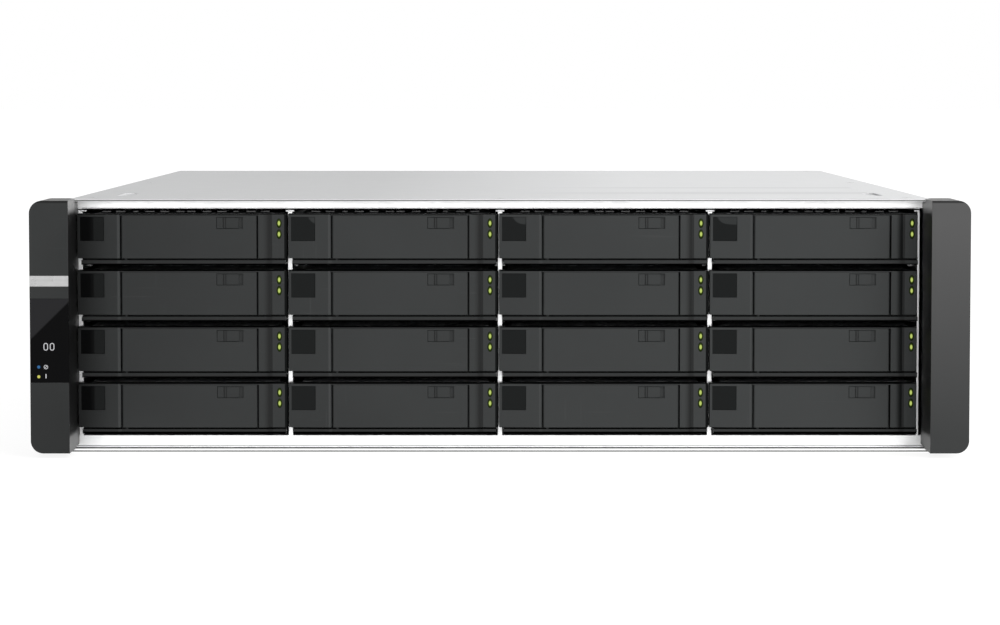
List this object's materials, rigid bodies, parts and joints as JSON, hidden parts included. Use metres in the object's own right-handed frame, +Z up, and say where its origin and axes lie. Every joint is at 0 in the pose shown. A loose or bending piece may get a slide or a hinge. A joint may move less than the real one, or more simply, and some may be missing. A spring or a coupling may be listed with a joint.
{
  "type": "rack storage server",
  "caption": "Rack-mount network storage server with hot-swap drive trays behind hinged levers, ear covers with a display window, slide-in power supplies and rear fans.",
  "frame": {"origin": "middle of the bounding box's underside, in the plane of the floor pan's lower face", "axes": "+X to the right as seen from the front, +Y from the front to the back, +Z up"},
  "size_m": [0.4826, 0.674, 0.132],
  "materials": {
    "zinc_steel": "bright zinc-plated sheet",
    "cover_steel": "pale satin sheet",
    "tray_plastic": "fine matte moulding",
    "lever_plastic": "fine matte moulding",
    "latch_plastic": "fine matte moulding",
    "ear_plastic": "fine matte moulding",
    "window": "polished black",
    "board": "solder mask",
    "supply_steel": "zinc-plated sheet",
    "fan_plastic": "black moulding"
  },
  "bodies": {
    "chassis": {"chassis_base": "zinc_steel", "top_cover": "cover_steel", "drive_cage": "zinc_steel", "circuit_boards": "board", "left_ear_cover": "ear_plastic", "right_ear_cover": "ear_plastic", "display_window": "window", "fan_frames": "fan_plastic"},
    "tray_r1c1": {"tray_r1c1": "tray_plastic"},
    "lever_r1c1": {"lever_r1c1": "lever_plastic"},
    "latch_r1c1": {"latch_r1c1": "latch_plastic"},
    "tray_r1c2": {"tray_r1c2": "tray_plastic"},
    "lever_r1c2": {"lever_r1c2": "lever_plastic"},
    "latch_r1c2": {"latch_r1c2": "latch_plastic"},
    "tray_r1c3": {"tray_r1c3": "tray_plastic"},
    "lever_r1c3": {"lever_r1c3": "lever_plastic"},
    "latch_r1c3": {"latch_r1c3": "latch_plastic"},
    "tray_r1c4": {"tray_r1c4": "tray_plastic"},
    "lever_r1c4": {"lever_r1c4": "lever_plastic"},
    "latch_r1c4": {"latch_r1c4": "latch_plastic"},
    "tray_r2c1": {"tray_r2c1": "tray_plastic"},
    "lever_r2c1": {"lever_r2c1": "lever_plastic"},
    "latch_r2c1": {"latch_r2c1": "latch_plastic"},
    "tray_r2c2": {"tray_r2c2": "tray_plastic"},
    "lever_r2c2": {"lever_r2c2": "lever_plastic"},
    "latch_r2c2": {"latch_r2c2": "latch_plastic"},
    "tray_r2c3": {"tray_r2c3": "tray_plastic"},
    "lever_r2c3": {"lever_r2c3": "lever_plastic"},
    "latch_r2c3": {"latch_r2c3": "latch_plastic"},
    "tray_r2c4": {"tray_r2c4": "tray_plastic"},
    "lever_r2c4": {"lever_r2c4": "lever_plastic"},
    "latch_r2c4": {"latch_r2c4": "latch_plastic"},
    "tray_r3c1": {"tray_r3c1": "tray_plastic"},
    "lever_r3c1": {"lever_r3c1": "lever_plastic"},
    "latch_r3c1": {"latch_r3c1": "latch_plastic"},
    "tray_r3c2": {"tray_r3c2": "tray_plastic"},
    "lever_r3c2": {"lever_r3c2": "lever_plastic"},
    "latch_r3c2": {"latch_r3c2": "latch_plastic"},
    "tray_r3c3": {"tray_r3c3": "tray_plastic"},
    "lever_r3c3": {"lever_r3c3": "lever_plastic"},
    "latch_r3c3": {"latch_r3c3": "latch_plastic"},
    "tray_r3c4": {"tray_r3c4": "tray_plastic"},
    "lever_r3c4": {"lever_r3c4": "lever_plastic"},
    "latch_r3c4": {"latch_r3c4": "latch_plastic"},
    "tray_r4c1": {"tray_r4c1": "tray_plastic"},
    "lever_r4c1": {"lever_r4c1": "lever_plastic"},
    "latch_r4c1": {"latch_r4c1": "latch_plastic"},
    "tray_r4c2": {"tray_r4c2": "tray_plastic"},
    "lever_r4c2": {"lever_r4c2": "lever_plastic"},
    "latch_r4c2": {"latch_r4c2": "latch_plastic"},
    "tray_r4c3": {"tray_r4c3": "tray_plastic"},
    "lever_r4c3": {"lever_r4c3": "lever_plastic"},
    "latch_r4c3": {"latch_r4c3": "latch_plastic"},
    "tray_r4c4": {"tray_r4c4": "tray_plastic"},
    "lever_r4c4": {"lever_r4c4": "lever_plastic"},
    "latch_r4c4": {"latch_r4c4": "latch_plastic"},
    "power_supply_lower": {"power_supply_lower": "supply_steel"},
    "power_supply_upper": {"power_supply_upper": "supply_steel"},
    "fan_rotor_left": {"fan_rotor_left": "fan_plastic"},
    "fan_rotor_right": {"fan_rotor_right": "fan_plastic"}
  },
  "joints": [
    {"name": "bay_r1c1_tray_slide", "type": "slide", "parent": "chassis", "child": "tray_r1c1", "axis": [0, -1, 0], "range_m": [0, 0.115]},
    {"name": "bay_r1c1_lever_hinge", "type": "hinge", "parent": "tray_r1c1", "child": "lever_r1c1", "pos_m": [-0.1952, -0.3048, 0.112], "axis": [0, 0, -1], "range_deg": [0, 70]},
    {"name": "bay_r1c1_latch_slide", "type": "slide", "parent": "lever_r1c1", "child": "latch_r1c1", "axis": [1, 0, 0], "range_m": [0, 0.002]},
    {"name": "power_supply_lower_slide", "type": "slide", "parent": "chassis", "child": "power_supply_lower", "axis": [0, 1, 0], "range_m": [0, 0.15]},
    {"name": "power_supply_upper_slide", "type": "slide", "parent": "chassis", "child": "power_supply_upper", "axis": [0, 1, 0], "range_m": [0, 0.15]},
    {"name": "fan_left_spin", "type": "hinge", "parent": "chassis", "child": "fan_rotor_left", "pos_m": [0.0175, 0.2991, 0.0868], "axis": [0, 1, 0], "continuous": true},
    {"name": "fan_right_spin", "type": "hinge", "parent": "chassis", "child": "fan_rotor_right", "pos_m": [0.1015, 0.2991, 0.0868], "axis": [0, 1, 0], "continuous": true},
    {"name": "bay_r1c2_tray_slide", "type": "slide", "parent": "chassis", "child": "tray_r1c2", "axis": [0, -1, 0], "range_m": [0, 0.115]},
    {"name": "bay_r1c2_lever_hinge", "type": "hinge", "parent": "tray_r1c2", "child": "lever_r1c2", "pos_m": [-0.0852, -0.3048, 0.112], "axis": [0, 0, -1], "range_deg": [0, 70]},
    {"name": "bay_r1c2_latch_slide", "type": "slide", "parent": "lever_r1c2", "child": "latch_r1c2", "axis": [1, 0, 0], "range_m": [0, 0.002]},
    {"name": "bay_r1c3_tray_slide", "type": "slide", "parent": "chassis", "child": "tray_r1c3", "axis": [0, -1, 0], "range_m": [0, 0.115]},
    {"name": "bay_r1c3_lever_hinge", "type": "hinge", "parent": "tray_r1c3", "child": "lever_r1c3", "pos_m": [0.0248, -0.3048, 0.112], "axis": [0, 0, -1], "range_deg": [0, 70]},
    {"name": "bay_r1c3_latch_slide", "type": "slide", "parent": "lever_r1c3", "child": "latch_r1c3", "axis": [1, 0, 0], "range_m": [0, 0.002]},
    {"name": "bay_r1c4_tray_slide", "type": "slide", "parent": "chassis", "child": "tray_r1c4", "axis": [0, -1, 0], "range_m": [0, 0.115]},
    {"name": "bay_r1c4_lever_hinge", "type": "hinge", "parent": "tray_r1c4", "child": "lever_r1c4", "pos_m": [0.1348, -0.3048, 0.112], "axis": [0, 0, -1], "range_deg": [0, 70]},
    {"name": "bay_r1c4_latch_slide", "type": "slide", "parent": "lever_r1c4", "child": "latch_r1c4", "axis": [1, 0, 0], "range_m": [0, 0.002]},
    {"name": "bay_r2c1_tray_slide", "type": "slide", "parent": "chassis", "child": "tray_r2c1", "axis": [0, -1, 0], "range_m": [0, 0.115]},
    {"name": "bay_r2c1_lever_hinge", "type": "hinge", "parent": "tray_r2c1", "child": "lever_r2c1", "pos_m": [-0.1952, -0.3048, 0.0825], "axis": [0, 0, -1], "range_deg": [0, 70]},
    {"name": "bay_r2c1_latch_slide", "type": "slide", "parent": "lever_r2c1", "child": "latch_r2c1", "axis": [1, 0, 0], "range_m": [0, 0.002]},
    {"name": "bay_r2c2_tray_slide", "type": "slide", "parent": "chassis", "child": "tray_r2c2", "axis": [0, -1, 0], "range_m": [0, 0.115]},
    {"name": "bay_r2c2_lever_hinge", "type": "hinge", "parent": "tray_r2c2", "child": "lever_r2c2", "pos_m": [-0.0852, -0.3048, 0.0825], "axis": [0, 0, -1], "range_deg": [0, 70]},
    {"name": "bay_r2c2_latch_slide", "type": "slide", "parent": "lever_r2c2", "child": "latch_r2c2", "axis": [1, 0, 0], "range_m": [0, 0.002]},
    {"name": "bay_r2c3_tray_slide", "type": "slide", "parent": "chassis", "child": "tray_r2c3", "axis": [0, -1, 0], "range_m": [0, 0.115]},
    {"name": "bay_r2c3_lever_hinge", "type": "hinge", "parent": "tray_r2c3", "child": "lever_r2c3", "pos_m": [0.0248, -0.3048, 0.0825], "axis": [0, 0, -1], "range_deg": [0, 70]},
    {"name": "bay_r2c3_latch_slide", "type": "slide", "parent": "lever_r2c3", "child": "latch_r2c3", "axis": [1, 0, 0], "range_m": [0, 0.002]},
    {"name": "bay_r2c4_tray_slide", "type": "slide", "parent": "chassis", "child": "tray_r2c4", "axis": [0, -1, 0], "range_m": [0, 0.115]},
    {"name": "bay_r2c4_lever_hinge", "type": "hinge", "parent": "tray_r2c4", "child": "lever_r2c4", "pos_m": [0.1348, -0.3048, 0.0825], "axis": [0, 0, -1], "range_deg": [0, 70]},
    {"name": "bay_r2c4_latch_slide", "type": "slide", "parent": "lever_r2c4", "child": "latch_r2c4", "axis": [1, 0, 0], "range_m": [0, 0.002]},
    {"name": "bay_r3c1_tray_slide", "type": "slide", "parent": "chassis", "child": "tray_r3c1", "axis": [0, -1, 0], "range_m": [0, 0.115]},
    {"name": "bay_r3c1_lever_hinge", "type": "hinge", "parent": "tray_r3c1", "child": "lever_r3c1", "pos_m": [-0.1952, -0.3048, 0.053], "axis": [0, 0, -1], "range_deg": [0, 70]},
    {"name": "bay_r3c1_latch_slide", "type": "slide", "parent": "lever_r3c1", "child": "latch_r3c1", "axis": [1, 0, 0], "range_m": [0, 0.002]},
    {"name": "bay_r3c2_tray_slide", "type": "slide", "parent": "chassis", "child": "tray_r3c2", "axis": [0, -1, 0], "range_m": [0, 0.115]},
    {"name": "bay_r3c2_lever_hinge", "type": "hinge", "parent": "tray_r3c2", "child": "lever_r3c2", "pos_m": [-0.0852, -0.3048, 0.053], "axis": [0, 0, -1], "range_deg": [0, 70]},
    {"name": "bay_r3c2_latch_slide", "type": "slide", "parent": "lever_r3c2", "child": "latch_r3c2", "axis": [1, 0, 0], "range_m": [0, 0.002]},
    {"name": "bay_r3c3_tray_slide", "type": "slide", "parent": "chassis", "child": "tray_r3c3", "axis": [0, -1, 0], "range_m": [0, 0.115]},
    {"name": "bay_r3c3_lever_hinge", "type": "hinge", "parent": "tray_r3c3", "child": "lever_r3c3", "pos_m": [0.0248, -0.3048, 0.053], "axis": [0, 0, -1], "range_deg": [0, 70]},
    {"name": "bay_r3c3_latch_slide", "type": "slide", "parent": "lever_r3c3", "child": "latch_r3c3", "axis": [1, 0, 0], "range_m": [0, 0.002]},
    {"name": "bay_r3c4_tray_slide", "type": "slide", "parent": "chassis", "child": "tray_r3c4", "axis": [0, -1, 0], "range_m": [0, 0.115]},
    {"name": "bay_r3c4_lever_hinge", "type": "hinge", "parent": "tray_r3c4", "child": "lever_r3c4", "pos_m": [0.1348, -0.3048, 0.053], "axis": [0, 0, -1], "range_deg": [0, 70]},
    {"name": "bay_r3c4_latch_slide", "type": "slide", "parent": "lever_r3c4", "child": "latch_r3c4", "axis": [1, 0, 0], "range_m": [0, 0.002]},
    {"name": "bay_r4c1_tray_slide", "type": "slide", "parent": "chassis", "child": "tray_r4c1", "axis": [0, -1, 0], "range_m": [0, 0.115]},
    {"name": "bay_r4c1_lever_hinge", "type": "hinge", "parent": "tray_r4c1", "child": "lever_r4c1", "pos_m": [-0.1952, -0.3048, 0.0235], "axis": [0, 0, -1], "range_deg": [0, 70]},
    {"name": "bay_r4c1_latch_slide", "type": "slide", "parent": "lever_r4c1", "child": "latch_r4c1", "axis": [1, 0, 0], "range_m": [0, 0.002]},
    {"name": "bay_r4c2_tray_slide", "type": "slide", "parent": "chassis", "child": "tray_r4c2", "axis": [0, -1, 0], "range_m": [0, 0.115]},
    {"name": "bay_r4c2_lever_hinge", "type": "hinge", "parent": "tray_r4c2", "child": "lever_r4c2", "pos_m": [-0.0852, -0.3048, 0.0235], "axis": [0, 0, -1], "range_deg": [0, 70]},
    {"name": "bay_r4c2_latch_slide", "type": "slide", "parent": "lever_r4c2", "child": "latch_r4c2", "axis": [1, 0, 0], "range_m": [0, 0.002]},
    {"name": "bay_r4c3_tray_slide", "type": "slide", "parent": "chassis", "child": "tray_r4c3", "axis": [0, -1, 0], "range_m": [0, 0.115]},
    {"name": "bay_r4c3_lever_hinge", "type": "hinge", "parent": "tray_r4c3", "child": "lever_r4c3", "pos_m": [0.0248, -0.3048, 0.0235], "axis": [0, 0, -1], "range_deg": [0, 70]},
    {"name": "bay_r4c3_latch_slide", "type": "slide", "parent": "lever_r4c3", "child": "latch_r4c3", "axis": [1, 0, 0], "range_m": [0, 0.002]},
    {"name": "bay_r4c4_tray_slide", "type": "slide", "parent": "chassis", "child": "tray_r4c4", "axis": [0, -1, 0], "range_m": [0, 0.115]},
    {"name": "bay_r4c4_lever_hinge", "type": "hinge", "parent": "tray_r4c4", "child": "lever_r4c4", "pos_m": [0.1348, -0.3048, 0.0235], "axis": [0, 0, -1], "range_deg": [0, 70]},
    {"name": "bay_r4c4_latch_slide", "type": "slide", "parent": "lever_r4c4", "child": "latch_r4c4", "axis": [1, 0, 0], "range_m": [0, 0.002]}
  ]
}
